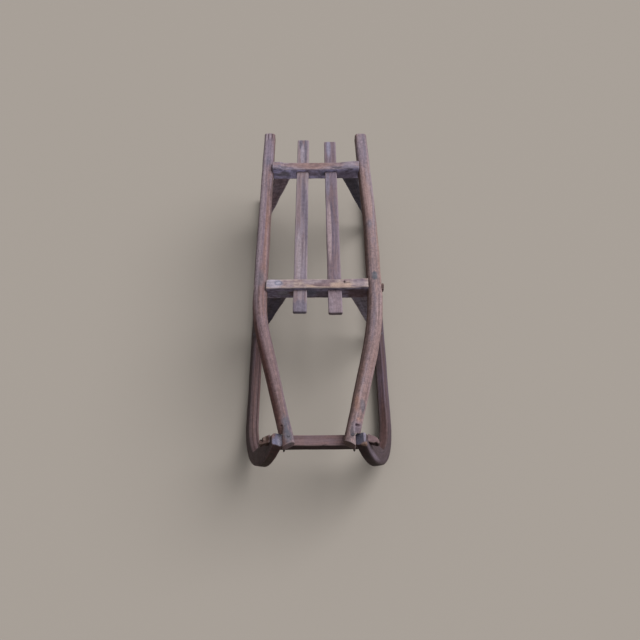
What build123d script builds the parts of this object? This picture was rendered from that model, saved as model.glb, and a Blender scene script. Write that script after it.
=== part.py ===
"""Small wooden sled with two bent-up runners, two legged cross beams, two slats and two side poles.

Millimetres. The front, where the runners curl up, is at -Y. The floor is at Z = 0 and the
middle plane at X = 0. The origin is on the floor, about below the middle of the whole length.
"""

from build123d import *
from math import acos, cos, degrees, pi, radians, sin, tan
from typing import NamedTuple
import os

os.makedirs("parts", exist_ok=True)

# Whole sled
overall_length = 1031.5
rear_end_y = 518.0
deck_height = 267.0
pole_axis_below_deck = 21.0

# Runners: bars bent up at the front, leaning in at the top by the splay
splay = 21.4
runner_width = 26.0
runner_depth = 33.0
runner_foot_x = 181.9
sole_wear = 3.5
curl_radius = 170.0
runner_curl_depth = 27.4
tip_rise = 240.3
runner_rear_y = 494.5
heel_rise = 14.0
heel_run = 22.0
runner_top_wear = 4.5
runner_arris_wear = 2.5

# Nose crossbar and its tenons through the runners
crossbar_setback = 29.25
crossbar_depth = 25.5
crossbar_height = 27.0
crossbar_top = 217.0
crossbar_edge = 2.0
nose_tenon_depth = 17.0
nose_tenon_height = 18.0
nose_tenon_reach = 137.0
nose_tenon_back_round = 10.0
nose_tenon_front_round = 4.0

# Cross beams, each with two legs
beam_depth = 29.5
beam_cope = 1.0
beam_edge = 2.0
pole_tenon_root = 10.0
pole_tenon_depth = 18.0
pole_tenon_height = 15.0
leg_thickness = 26.0
leg_top_width = 44.0
leg_foot_width = 18.0
leg_foot_shift = 3.5
leg_tenon_thickness = 10.0
leg_tenon_width = 26.0
leg_tenon_length = 20.0
foot_tenon_thickness = 16.0
foot_tenon_width = 9.0
foot_tenon_length = 20.0

# Slats through both beams
slat_thickness = 12.0
slat_below_deck = 11.0
slat_edge = 1.5
slat_corner_round = 4.0

# Side poles, shaved round in flats, squarer towards the rear, drawn in to the crossbar from the bend on
pole_flats = 16
pole_sway_y = 150.0
pole_rear_roundness = 0.26
pole_end_edge = 1.5
pole_seat_depth = 2.0
pole_shoulder_setback = 2.0
pole_shoulder_run = 20.0
pole_end_overhang = 8.4
pole_end_bevel = 25.5

# Whittled pegs, driven into the poles from below, and forged nails
peg_sides = 8
pole_peg_diameter = 9.0
pole_peg_proud = 1.5
pole_peg_depth = 33.0
foot_peg_diameter = 7.0
foot_peg_proud = 0.8
foot_peg_drop = 10.0
nail_sides = 4
nail_diameter = 5.0
nail_head_diameter = 8.0
nail_head_thickness = 2.5
nail_head_proud = 0.8
nail_top_ahead = 0.25
nail_point_ahead = 10.25
nail_point_x = 81.5
nail_point_drop = 12.0

# Clearances
joint_gap = 0.15
shoulder_gap = 0.2
peg_gap = 0.08
notch_gap = 0.5


class Beam(NamedTuple):
    """Cross beam: its middle along Y, height, by side its leg's inner edge and its tenon's reach
    past the pole, and (x, rise) of its worn top."""

    y: float
    height: float
    leg_x: dict
    tenon_proud: dict
    top: tuple


class Pole(NamedTuple):
    """Side pole: the lie of its axis, its thicknesses, the radius of its bend and its nail's X."""

    rear_short: float
    corner_y: float
    rear_x: float
    sway_x: float
    corner_x: float
    nose_x: float
    rear_width: float
    sway_diameter: float
    bend_diameter: float
    nose_diameter: float
    bend_radius: float
    nail_top_x: float


class Slat(NamedTuple):
    """Slat: its ends along Y, its middle line's X at both ends and its width."""

    front_y: float
    rear_y: float
    front_x: float
    rear_x: float
    width: float


FRONT_TOP = ((-120.0, 0.0), (95.0, 0.0), (118.0, 4.0))
REAR_TOP = ((-108.0, 5.0), (-96.0, 0.0), (68.0, 0.0), (103.0, 5.0))
# Columns: y, height, leg_x, tenon_proud, top
BEAMS = {
    "front": Beam(-75.0, 43.5, {"left": 82.0, "right": 86.0}, {"left": -1.0, "right": 2.5}, FRONT_TOP),
    "rear": Beam(363.5, 37.5, {"left": 80.0, "right": 75.5}, {"left": -1.0, "right": -1.0}, REAR_TOP),
}
# Columns: how much shorter at the rear, corner_y, X of the axis at rear, sway, corner and nose,
# width at the rear, diameter at sway, bend and nose, bend_radius, nail_top_x
POLES = {
    "left": Pole(0.0, -165.5, 144.4, 147.5, 148.7, 73.2, 33.5, 35.0, 36.0, 30.5, 520.0, 67.5),
    "right": Pole(5.0, -178.0, 136.9, 147.6, 146.8, 74.2, 36.0, 37.5, 38.8, 33.0, 860.0, 75.0),
}
# Columns: front_y, rear_y, front_x, rear_x, width
SLATS = {
    "left": Slat(-155.5, 492.5, 46.0, 40.6, 35.0),
    "right": Slat(-159.7, 484.5, 44.0, 41.0, 35.5),
}
# Every piece is drawn on the right, +X, and mirrored for the left
SIDES = {"left": -1, "right": 1}

# Derived places
lean = radians(splay)
pole_axis_height = deck_height - pole_axis_below_deck
runner_base_z = runner_width / 2 * sin(lean) - sole_wear
nose_y = rear_end_y - overall_length
curl_centre_y = nose_y + curl_radius
curl_inner_radius = curl_radius - runner_curl_depth
tip_inner_z = runner_base_z + tip_rise * cos(lean) - runner_width / 2 * sin(lean)
tip_over_centre = tip_rise - runner_depth - curl_inner_radius
tip_back_y = curl_centre_y - (curl_inner_radius**2 - tip_over_centre**2) ** 0.5
crossbar_y = nose_y + crossbar_setback
crossbar_front = crossbar_y - crossbar_depth / 2
crossbar_back = crossbar_y + crossbar_depth / 2
crossbar_bottom = crossbar_top - crossbar_height
slat_middle_z = deck_height - slat_below_deck - slat_thickness / 2
span = 2 * overall_length

# Columns: radius of a runner's long arris in its curl, its place across the width, how far it is rubbed down
RUNNER_WEAR = [
    (curl_inner_radius, runner_width / 2, runner_top_wear),
    (curl_inner_radius, -runner_width / 2, runner_arris_wear),
    (curl_radius, runner_width / 2, runner_arris_wear),
    (curl_radius, -runner_width / 2, runner_arris_wear),
]


def runner_plane(across=0.0):
    """Leaning plane of the right runner, shifted across its width; local X runs back, local Y up."""
    normal = Vector(cos(lean), 0, sin(lean))
    origin = Vector(runner_foot_x, 0, runner_base_z) + normal * across
    return Plane(origin=origin, x_dir=(0, 1, 0), z_dir=normal)


def runner_face_x(height, across):
    """X at a height of the right runner's lengthwise plane, given its distance from the middle one."""
    return runner_foot_x - (height - runner_base_z) * tan(lean) + across / cos(lean)


def on_side(shape, side):
    """The shape as drawn on the right, or mirrored to the left."""
    return shape if SIDES[side] > 0 else mirror(shape, about=Plane.YZ)


def block(low, high):
    """Box from its lowest to its highest corner."""
    size = [high[i] - low[i] for i in range(3)]
    middle = [(high[i] + low[i]) / 2 for i in range(3)]
    return Pos(*middle) * Box(*size)


def peg(start, end, diameter, sides=peg_sides):
    """Straight peg between two points with flats inside its diameter."""
    axis = Vector(*end) - Vector(*start)
    face = Plane(origin=start, z_dir=axis) * RegularPolygon(diameter / 2, sides)
    return extrude(face, amount=axis.length, dir=axis)


def rod(start, end, diameter):
    """Straight round bar between two points."""
    axis = Vector(*end) - Vector(*start)
    return Part() + Solid.make_cylinder(diameter / 2, axis.length, Plane(origin=start, z_dir=axis))


def shaved_face(place, width, corner_radius):
    """Cross-section of a pole: a square of a width with round corners, all in flats at even angles."""
    step = 2 * pi / pole_flats
    corners = []
    for i in range(pole_flats):
        reach = [shaved_reach(turn * step, width, corner_radius) for turn in (i, i + 1)]
        along = (reach[1] - reach[0] * cos(step)) / sin(step)
        x = reach[0] * cos(i * step) - along * sin(i * step)
        y = reach[0] * sin(i * step) + along * cos(i * step)
        corners.append((x, y))
    return place * make_face(Polyline(*corners, close=True))


def shaved_reach(angle, width, corner_radius):
    """Distance from a pole's axis to the flat at an angle round it."""
    return (width / 2 - corner_radius) * (abs(cos(angle)) + abs(sin(angle))) + corner_radius


def plate(points, low_y, high_y):
    """Flat piece with an outline of (x, z) points and its thickness along Y."""
    outline = make_face(Polyline(*[(x, 0, z) for x, z in points], close=True))
    return Pos(0, low_y, 0) * extrude(outline, amount=high_y - low_y, dir=(0, 1, 0))


def runner_block(low_across, high_across, low_y, high_y, low_up, high_up):
    """Box set square to the right runner: across its width, along Y and up in its leaning plane."""
    middle = runner_plane((low_across + high_across) / 2)
    place = middle.location * Pos((low_y + high_y) / 2, (low_up + high_up) / 2, 0)
    return place * Box(high_y - low_y, high_up - low_up, high_across - low_across)


def on_runner(y, up, across):
    """Point on the right runner: along Y, up in its leaning plane and across its width."""
    return runner_plane(across).from_local_coords((y, up, 0))


def long_arris(bar, radius, across):
    """Edges of the right runner that follow a radius of its curl at a place across its width."""
    return [
        edge
        for edge in bar.edges().filter_by(GeomType.CIRCLE)
        if abs(edge.radius - radius) < joint_gap
        and abs(runner_plane(across).to_local_coords(edge.center()).Z) < joint_gap
    ]


def foot_tenon(beam, gap):
    """Tenon below a right leg that enters the runner, or its mortise with a gap."""
    thick = foot_tenon_thickness / 2 + gap
    low_across = leg_foot_shift - foot_tenon_width / 2 - gap
    high_across = leg_foot_shift + foot_tenon_width / 2 + gap
    low_up = runner_depth - foot_tenon_length - gap
    high_up = runner_depth + foot_tenon_length
    return runner_block(low_across, high_across, beam.y - thick, beam.y + thick, low_up, high_up)


def foot_peg(beam, gap=0.0):
    """Peg through the right runner and the leg's tenon, or its round hole with a gap."""
    reach = runner_width / 2 + foot_peg_proud
    up = runner_depth - foot_peg_drop
    make = rod if gap else peg
    ends = [on_runner(beam.y, up, across) for across in (-reach, reach)]
    return make(*ends, foot_peg_diameter + 2 * gap)


def nose_tenons(gap):
    """Tenons at both ends of the crossbar in one length, or their mortises with a gap."""
    low = (-nose_tenon_reach, crossbar_back - nose_tenon_depth - gap, crossbar_top - nose_tenon_height - gap)
    high = (nose_tenon_reach, crossbar_back + gap, crossbar_top + gap)
    return block(low, high)


def pole_at(pole, y):
    """X of the right pole's axis and its thickness at a place behind its bend."""
    if y > pole_sway_y:
        share = (y - pole_sway_y) / (rear_end_y - pole.rear_short - pole_sway_y)
        end_x, end_diameter = pole.rear_x, pole.rear_width
    else:
        share = (y - pole_sway_y) / (pole.corner_y - pole_sway_y)
        end_x, end_diameter = pole.corner_x, pole.bend_diameter
    x = pole.sway_x + share * (end_x - pole.sway_x)
    return x, pole.sway_diameter + share * (end_diameter - pole.sway_diameter)


def pole_tenon(beam, side, gap):
    """Tenon at one end of a beam, drawn on the right, through the pole, or its mortise with a gap."""
    x, width = pole_at(POLES[side], beam.y)
    reach = x + width / 2 + beam.tenon_proud[side]
    half_depth = pole_tenon_depth / 2 + gap
    half_height = pole_tenon_height / 2 + gap
    low = (x - width / 2 - pole_tenon_root, beam.y - half_depth, pole_axis_height - half_height)
    high = (reach + (span if gap else 0), beam.y + half_depth, pole_axis_height + half_height)
    return block(low, high)


def leg_tenon(beam, side, gap):
    """Tenon above a leg, drawn on the right, that enters the beam, or its mortise with a gap."""
    middle_x = beam.leg_x[side] + leg_top_width / 2
    half_width = leg_tenon_width / 2 + gap
    half_thick = leg_tenon_thickness / 2 + gap
    bottom = deck_height - beam.height
    low = (middle_x - half_width, beam.y - half_thick, bottom - leg_tenon_length)
    high = (middle_x + half_width, beam.y + half_thick, bottom + leg_tenon_length + gap)
    return block(low, high)


def pole_peg(beam, pole, gap=0.0):
    """Upright peg from below through the right pole and the beam's tenon, or its round hole with a gap."""
    x, width = pole_at(pole, beam.y)
    bottom = pole_axis_height - width / 2 - pole_peg_proud
    make = rod if gap else peg
    return make((x, beam.y, bottom), (x, beam.y, bottom + pole_peg_depth), pole_peg_diameter + 2 * gap)


def nail(pole, gap, above=0.0):
    """Slanting headed nail through the right pole and the crossbar, or its hole with a gap, open above."""
    top_z = crossbar_top - pole_seat_depth + pole.nose_diameter + nail_head_proud
    top = Vector(pole.nail_top_x, crossbar_y - nail_top_ahead, top_z)
    point = Vector(nail_point_x, crossbar_y - nail_point_ahead, crossbar_bottom - nail_point_drop)
    down = (point - top).normalized()
    under_head = top + down * nail_head_thickness
    if not gap:
        return peg(top, under_head, nail_head_diameter) + peg(under_head, point, nail_diameter, nail_sides)
    head = rod(top - down * above, under_head, nail_head_diameter + 2 * gap)
    return head + rod(under_head, point, nail_diameter + 2 * gap)


def slat(shape, gap=0.0):
    """Right slat with its slight turn in plan and worn edges, or its plain mortise with a gap."""
    turn = Vector(shape.rear_x - shape.front_x, shape.rear_y - shape.front_y, 0)
    middle = ((shape.front_x + shape.rear_x) / 2, (shape.front_y + shape.rear_y) / 2, slat_middle_z)
    strip = Box(turn.length + 2 * gap, shape.width + 2 * gap, slat_thickness + 2 * gap)
    if not gap:
        strip = fillet(strip.edges().filter_by(Axis.Z), slat_corner_round)
        strip = chamfer(strip.edges().filter_by(Axis.X), slat_edge)
    return Plane(origin=middle, x_dir=turn, z_dir=(0, 0, 1)).location * strip


def runner():
    """Right runner: flat length, curl to a sawn tip, sole worn flat, mortises and peg holes."""
    inner_centre_up = runner_depth + curl_inner_radius
    outer_sweep = degrees(acos(1 - tip_rise / curl_radius))
    inner_sweep = degrees(acos(1 - (tip_rise - runner_depth) / curl_inner_radius))
    outer_curl = CenterArc((curl_centre_y, curl_radius), curl_radius, -90, -outer_sweep)
    inner_curl = CenterArc((curl_centre_y, inner_centre_up), curl_inner_radius, -90, -inner_sweep)
    heel = [
        (runner_rear_y, runner_depth),
        (runner_rear_y, heel_rise),
        (runner_rear_y - heel_run, 0),
    ]
    outline = [
        outer_curl,
        Line(outer_curl @ 1, inner_curl @ 1),
        inner_curl,
        Polyline(inner_curl @ 0, *heel, outer_curl @ 0),
    ]
    face = make_face(Curve() + outline)
    bar = extrude(runner_plane() * face, amount=runner_width / 2, both=True)
    for radius, across, wear in RUNNER_WEAR:
        bar = chamfer(long_arris(bar, radius, across), wear)
    bar &= block((0, -span, 0), (span, span, span))
    bar -= nose_tenons(joint_gap)
    for beam in BEAMS.values():
        bar -= foot_tenon(beam, joint_gap)
        bar -= foot_peg(beam, peg_gap)
    return bar


def crossbar():
    """Square bar between the runner tips with its shoulders cut to their lean."""
    inner = -runner_width / 2 - shoulder_gap
    low_x = runner_face_x(crossbar_bottom, inner)
    high_x = runner_face_x(crossbar_top, inner)
    corners = [(-low_x, crossbar_bottom), (low_x, crossbar_bottom)]
    corners += [(high_x, crossbar_top), (-high_x, crossbar_top)]
    bar = plate(corners, crossbar_front, crossbar_back)
    bar = chamfer(bar.edges().filter_by(Axis.X), crossbar_edge)
    tenons = nose_tenons(0)
    upright = tenons.edges().filter_by(Axis.Z).sort_by(Axis.Y)
    tenons = fillet(upright[:2], nose_tenon_front_round)
    upright = tenons.edges().filter_by(Axis.Z).sort_by(Axis.Y)
    bar += fillet(upright[-2:], nose_tenon_back_round)
    for side, pole in POLES.items():
        bar -= on_side(nail(pole, peg_gap), side)
    return bar


def cross_beam(beam):
    """Cross beam, its top worn hollow, coped to the poles, with tenons through them and its mortises."""
    half = beam_depth / 2
    bottom = deck_height - beam.height
    ends = {}
    for side, pole in POLES.items():
        x, width = pole_at(pole, beam.y)
        ends[side] = SIDES[side] * (x - width / 2 + beam_cope)
    top = [(x, deck_height + rise) for x, rise in beam.top]
    outline = [(ends["left"], top[0][1]), (ends["left"], bottom)]
    outline += [(ends["right"], bottom), (ends["right"], top[-1][1]), *reversed(top)]
    bar = plate(outline, beam.y - half, beam.y + half)
    lengthwise = bar.edges() - bar.edges().filter_by(Axis.Y) - bar.edges().filter_by(Axis.Z)
    bar = chamfer([edge for edge in lengthwise if edge.center().Z > pole_axis_height], beam_edge)
    for side, pole in POLES.items():
        bar -= on_side(pole_blank(pole, shoulder_gap), side)
        bar += on_side(pole_tenon(beam, side, 0), side)
        bar -= on_side(slat(SLATS[side], joint_gap), side)
        bar -= on_side(leg_tenon(beam, side, joint_gap), side)
        bar -= on_side(pole_peg(beam, pole, peg_gap), side)
    return bar


def leg(beam, side):
    """Leg, drawn on the right: a plank that narrows from beam to runner, with a tenon at each end."""
    half = leg_thickness / 2
    bottom = deck_height - beam.height
    foot = [
        on_runner(beam.y, runner_depth, leg_foot_shift + across)
        for across in (leg_foot_width / 2, -leg_foot_width / 2)
    ]
    corners = [(beam.leg_x[side], bottom), (beam.leg_x[side] + leg_top_width, bottom)]
    corners += [(point.X, point.Z) for point in foot]
    plank = plate(corners, beam.y - half, beam.y + half)
    plank += leg_tenon(beam, side, 0)
    plank += foot_tenon(beam, 0)
    plank -= foot_peg(beam, peg_gap)
    return plank


def pole_blank(pole, gap):
    """Right pole before its joints: squared rear, tapering straight, bend and nose, with a gap round it."""
    seat_z = crossbar_top + pole.nose_diameter / 2 - pole_seat_depth
    slope_x = (pole.corner_x - pole.nose_x) / (pole.corner_y - crossbar_y)
    slope_z = (pole_axis_height - seat_z) / (pole.corner_y - crossbar_y)
    past = crossbar_y - crossbar_front + 3 * pole_end_overhang
    front = (pole.nose_x - slope_x * past, crossbar_y - past, seat_z - slope_z * past)
    corner = (pole.corner_x, pole.corner_y, pole_axis_height)
    sway = (pole.sway_x, pole_sway_y, pole_axis_height)
    straight, bend, nose = FilletPolyline(sway, corner, front, radius=pole.bend_radius).edges()
    sizes = [pole.rear_width, pole.sway_diameter, pole.bend_diameter, pole.nose_diameter]
    rear_width, sway_diameter, bend_diameter, nose_diameter = (size + 2 * gap for size in sizes)
    heading, nose_heading = straight % 0, nose % 0
    across = heading.cross(Vector(0, 0, 1))
    turn = Axis((0, 0, 0), heading.cross(nose_heading))
    nose_across = across.rotate(turn, heading.get_angle(nose_heading))
    rear = (pole.rear_x, rear_end_y - pole.rear_short, pole_axis_height)
    rear_face = shaved_face(Plane(rear, across, heading), rear_width, pole_rear_roundness * rear_width)
    sway_face = shaved_face(Plane(sway, across, heading), sway_diameter, sway_diameter / 2)
    bend_face = shaved_face(Plane(bend @ 0, across, heading), bend_diameter, bend_diameter / 2)
    bend_end = shaved_face(Plane(nose @ 0, nose_across, nose_heading), bend_diameter, bend_diameter / 2)
    nose_face = shaved_face(Plane(nose @ 1, nose_across, nose_heading), nose_diameter, nose_diameter / 2)
    body = loft([rear_face, sway_face], ruled=True) + loft([sway_face, bend_face], ruled=True)
    return body + sweep(bend_face, path=bend) + loft([bend_end, nose_face], ruled=True)


def side_pole(side):
    """Pole, drawn on the right, with its mortises, its seat on the crossbar and its cheek beside the tip."""
    pole = POLES[side]
    bar = pole_blank(pole, 0)
    bar = chamfer(bar.faces().sort_by(Axis.Y)[-1].edges(), pole_end_edge)
    clear = -runner_width / 2 - notch_gap
    tip_x = runner_face_x(tip_inner_z, clear)
    cheek = [
        (runner_face_x(0, clear), 0),
        (tip_x, tip_inner_z),
        (tip_x, deck_height),
        (span, deck_height),
        (span, 0),
    ]
    shoulder_y = tip_back_y + pole_shoulder_setback
    shoulder = [
        (-span, 0),
        (shoulder_y, 0),
        (shoulder_y, tip_inner_z),
        (shoulder_y + pole_shoulder_run, deck_height),
        (-span, deck_height),
    ]
    slope = make_face(Polyline(*[(0, y, z) for y, z in shoulder], close=True))
    bar -= plate(cheek, -span, shoulder_y + pole_shoulder_run) & extrude(slope, amount=span, dir=(1, 0, 0))
    seat_front = crossbar_front - pole_end_overhang - span
    bar -= block((0, seat_front, 0), (span, crossbar_back + shoulder_gap, crossbar_top))
    bevel = radians(pole_end_bevel)
    end_plane = Plane(
        origin=(pole.nose_x, crossbar_front - pole_end_overhang, 0),
        x_dir=(cos(bevel), -sin(bevel), 0),
        z_dir=(0, 0, 1),
    )
    bar -= end_plane.location * Pos(0, -span / 2, 0) * Box(span, span, span)
    for beam in BEAMS.values():
        bar -= pole_tenon(beam, side, joint_gap)
        bar -= pole_peg(beam, pole, peg_gap)
    bar -= nail(pole, peg_gap, deck_height)
    return bar


for side, pole in POLES.items():
    export_step(on_side(runner(), side), f"parts/runner_{side}.step")
    export_step(on_side(side_pole(side), side), f"parts/side_pole_{side}.step")
    export_step(on_side(slat(SLATS[side]), side), f"parts/slat_{side}.step")
    export_step(on_side(nail(pole, 0), side), f"parts/nose_nail_{side}.step")
    for place, beam in BEAMS.items():
        export_step(on_side(leg(beam, side), side), f"parts/{place}_leg_{side}.step")
        export_step(on_side(foot_peg(beam), side), f"parts/{place}_foot_peg_{side}.step")
        export_step(on_side(pole_peg(beam, pole), side), f"parts/{place}_pole_peg_{side}.step")
for place, beam in BEAMS.items():
    export_step(cross_beam(beam), f"parts/{place}_beam.step")
export_step(crossbar(), "parts/nose_crossbar.step")
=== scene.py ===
"""Looks of a small weathered wooden sled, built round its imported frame.

Metres, but millimetres in the tables of stains, dents and cheeks. The nose is at -Y and the floor at Z = 0.
Every wooden piece is a copy of its CAD node that is remeshed evenly, worn, hewn and cracked, and then
dressed with wood of its own tone.
"""

import logging
import math
from dataclasses import dataclass, replace
from enum import Enum, IntEnum
from typing import Any, NamedTuple

import bpy
import numpy as np
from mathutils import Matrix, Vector


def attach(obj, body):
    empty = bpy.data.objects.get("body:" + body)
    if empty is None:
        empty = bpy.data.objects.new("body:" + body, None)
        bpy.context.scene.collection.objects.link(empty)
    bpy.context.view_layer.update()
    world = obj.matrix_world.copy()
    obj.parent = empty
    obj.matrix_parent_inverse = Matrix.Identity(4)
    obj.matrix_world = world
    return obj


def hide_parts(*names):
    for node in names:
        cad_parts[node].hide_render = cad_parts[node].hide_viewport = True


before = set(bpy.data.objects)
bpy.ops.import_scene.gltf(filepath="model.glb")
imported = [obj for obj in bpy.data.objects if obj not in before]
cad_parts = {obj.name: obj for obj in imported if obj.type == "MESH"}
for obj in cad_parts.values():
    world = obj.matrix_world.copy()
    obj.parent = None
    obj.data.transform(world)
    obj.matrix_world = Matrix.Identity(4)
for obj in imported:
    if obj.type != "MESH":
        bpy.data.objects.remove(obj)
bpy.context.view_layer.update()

log = logging.getLogger("sled")

Triple = tuple[float, float, float]
# Colour as it is seen under plain light, in bytes per channel
Colour = tuple[int, int, int]
# Smooth step of a pattern: where it starts, where it is full, and the share it gives there if not 1
Step = tuple[float, ...]

BODY = "root"
BYTE = 255.0
MILLIMETRES = 1000.0
FULL_TURN = 2 * math.pi
UPWARDS = (0.0, 0.0, 1.0)
MERGE_DISTANCE = 0.00001

# Attributes that a worked surface keeps for its finish
GRAIN = "grain"
END_GRAIN = "end_grain"
EDGE = "edge"
CRACK = "crack"

# Sockets of a Mix node for colours
MIX_FACTOR = 0
MIX_FIRST = 6
MIX_SECOND = 7
MIX_RESULT = 2

# A noise swings by about a quarter round its middle, and a seed shifts it along X, Y and Z
NOISE_MIDDLE = 0.5
NOISE_TO_ONE = 4.0
NOISE_ROUGHNESS = 0.55
SEED_SHIFT = (1.7, 3.1, 5.3)

# Waves per metre across, along and through the grain
FIBRE_WAVES = (700.0, 30.0, 700.0)
RIDGE_WAVES = (190.0, 9.0, 190.0)
CHECK_WAVES = (70.0, 1.6, 70.0)
CHECK_PATCHES = (16.0, 3.0, 16.0)
DRIFT_WAVES = (9.0, 4.0, 9.0)
DRIFT_SWING = 2.0
# Waves per metre along X, Y and Z of the sled
MOTTLE_WAVES = (150.0, 110.0, 150.0)
PATCH_WAVES = (24.0, 8.0, 24.0)
SPECK_WAVES = (420.0, 300.0, 420.0)


class Side(Enum):
    """Side of the sled, seen from the nose towards the rear."""

    LEFT = -1
    RIGHT = 1

    @property
    def word(self) -> str:
        """Name of the side as it stands in node names."""
        return self.name.lower()


class Layer(IntEnum):
    """Noises of one wood, by what each adds to the wood's seed."""

    FIBRE = 0
    STREAK = 1
    BAND = 2
    PATCH = 3
    SPECK = 4
    DRIFT = 5
    MOTTLE = 6
    CHECKED = 7
    HEWN = 11
    ROUGH = 12


# Steps of the wood's tones, of its dirt and painted shade, and what they start from
STAIN_MOTTLE = (0.38, 0.62, 0.26)
STAIN_STREAK = (0.40, 0.60, 0.18)
STAIN_BASE = 0.78
DIRT_AND_SHADE_MOTTLE = (0.36, 0.62, 0.70)
DIRT_AND_SHADE_BASE = 0.65
RED_BAND = (0.46, 0.59)
RED_MOTTLE = 0.3
GREY_PATCH = (0.47, 0.58)
GREY_SPOT = 0.5
GREY_BAND = -0.4
GREY_BASE = 0.45
FIBRE_SHOWN = (0.36, 0.62)
FIBRE_BALANCE = 0.6
SPECK_SHOWN = (0.32, 0.66)
SPECK_BALANCE = 0.5

# Steps of the wear and painted shade: sides darkened by dirt and painted shade, rubbed edges, painted shade
# in the hollows, end grain and its rings
DIRTY_SHADED_SIDE = (0.55, 0.10)
DIRT_AND_SHADE_FRAY = 0.7
EDGE_RUBBED = (0.35, 1.2)
EDGE_FRAY = 1.2
HOLLOW_PAINTED_SHADE = (-0.25, -0.9, 0.5)
END_SHOWN = (0.60, 0.84, 0.9)
RING_DARK = (-1.0, 1.0, 0.2)
RING_WIDTH = 0.0026
ACROSS_GRAIN = (1.0, 0.0, 1.0)
RING_WOBBLE = 9.0
STAIN_FRAY = 2.0

# Cracks: half their width as a step of the noise, where they lie, and how dark they are
FINE_CRACK = 0.007
DEEP_CRACK = 0.025
CHECKED_PARTS = (0.55, 0.63)
FINE_CRACK_DARK = 0.8
DEEP_CRACK_DARK = 0.5

# Gloss and fine relief of the wood
ROUGHNESS = (0.3, 0.7, 0.16)
ROUGHNESS_BASE = 0.64
SPECULAR = 0.25
BUMP_STRENGTH = 0.5
BUMP_DEPTH = 0.0011
BUMP_FIBRE = 0.5
BUMP_STREAK = 0.4
BUMP_CRACK = 0.7
BUMP_SPECK = 0.35

# Passes that blur a surface, and the voxels by which a full edge stands out of it
EDGE_BLUR = 10
EDGE_PROUD = 0.45
# Shape of a dent from its rim inwards, and strength of each smoothing pass
DENT_RIM = (1.0, 0.4)
SMOOTHING = 0.5
# A bar whose direction has more than this share of Z stands upright
UPRIGHT = 0.7


def metres(triple: Triple) -> Triple:
    """Millimetres turned into metres."""
    return tuple(value / MILLIMETRES for value in triple)


def linear(colour: Colour) -> tuple[float, float, float, float]:
    """Scene-linear colour with full alpha."""
    return (*(to_linear(channel / BYTE) for channel in colour), 1.0)


def to_linear(value: float) -> float:
    """Turn one display channel into its scene-linear value.

    Args:
        value: Channel from 0 to 1 as a screen shows it.

    Returns:
        The scene-linear channel.
    """
    if value <= 0.04045:
        return value / 12.92
    return ((value + 0.055) / 1.055) ** 2.4


class Field:
    """Value, colour or vector that runs through a node tree, with its arithmetic written in Python."""

    def __init__(self, tree: "Tree", socket: bpy.types.NodeSocket) -> None:
        """Wrap the output socket of a tree that gives the value."""
        self.tree = tree
        self.socket = socket

    def math(self, operation: str, *others: "Field | float") -> "Field":
        """Add a Math node that takes this value first, and the others after it."""
        inputs = dict(enumerate((self, *others)))
        return self.tree.node("ShaderNodeMath", {"operation": operation}, inputs)

    def __add__(self, other: "Field | float") -> "Field":
        """Sum."""
        return self.math("ADD", other)

    __radd__ = __add__

    def __mul__(self, other: "Field | float") -> "Field":
        """Product."""
        return self.math("MULTIPLY", other)

    __rmul__ = __mul__

    def __sub__(self, other: "Field | float") -> "Field":
        """Difference."""
        return self.math("SUBTRACT", other)

    def __rsub__(self, other: float) -> "Field":
        """Difference from a plain number."""
        return self.tree.node("ShaderNodeMath", {"operation": "SUBTRACT"}, {0: other, 1: self})

    def __truediv__(self, other: "Field | float") -> "Field":
        """Quotient."""
        return self.math("DIVIDE", other)

    def __abs__(self) -> "Field":
        """Absolute value."""
        return self.math("ABSOLUTE")

    def ramp(self, start: float, full: float, share: float = 1.0) -> "Field":
        """Smooth step, rising or falling with the value.

        Args:
            start: Value that gives 0.
            full: Value that gives the whole share.
            share: Most that the step gives.

        Returns:
            The stepped value.
        """
        inputs = {"Value": self, "From Min": min(start, full), "From Max": max(start, full)}
        rising = self.tree.node("ShaderNodeMapRange", {"interpolation_type": "SMOOTHSTEP"}, inputs)
        return (rising if start < full else 1 - rising) * share


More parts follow.
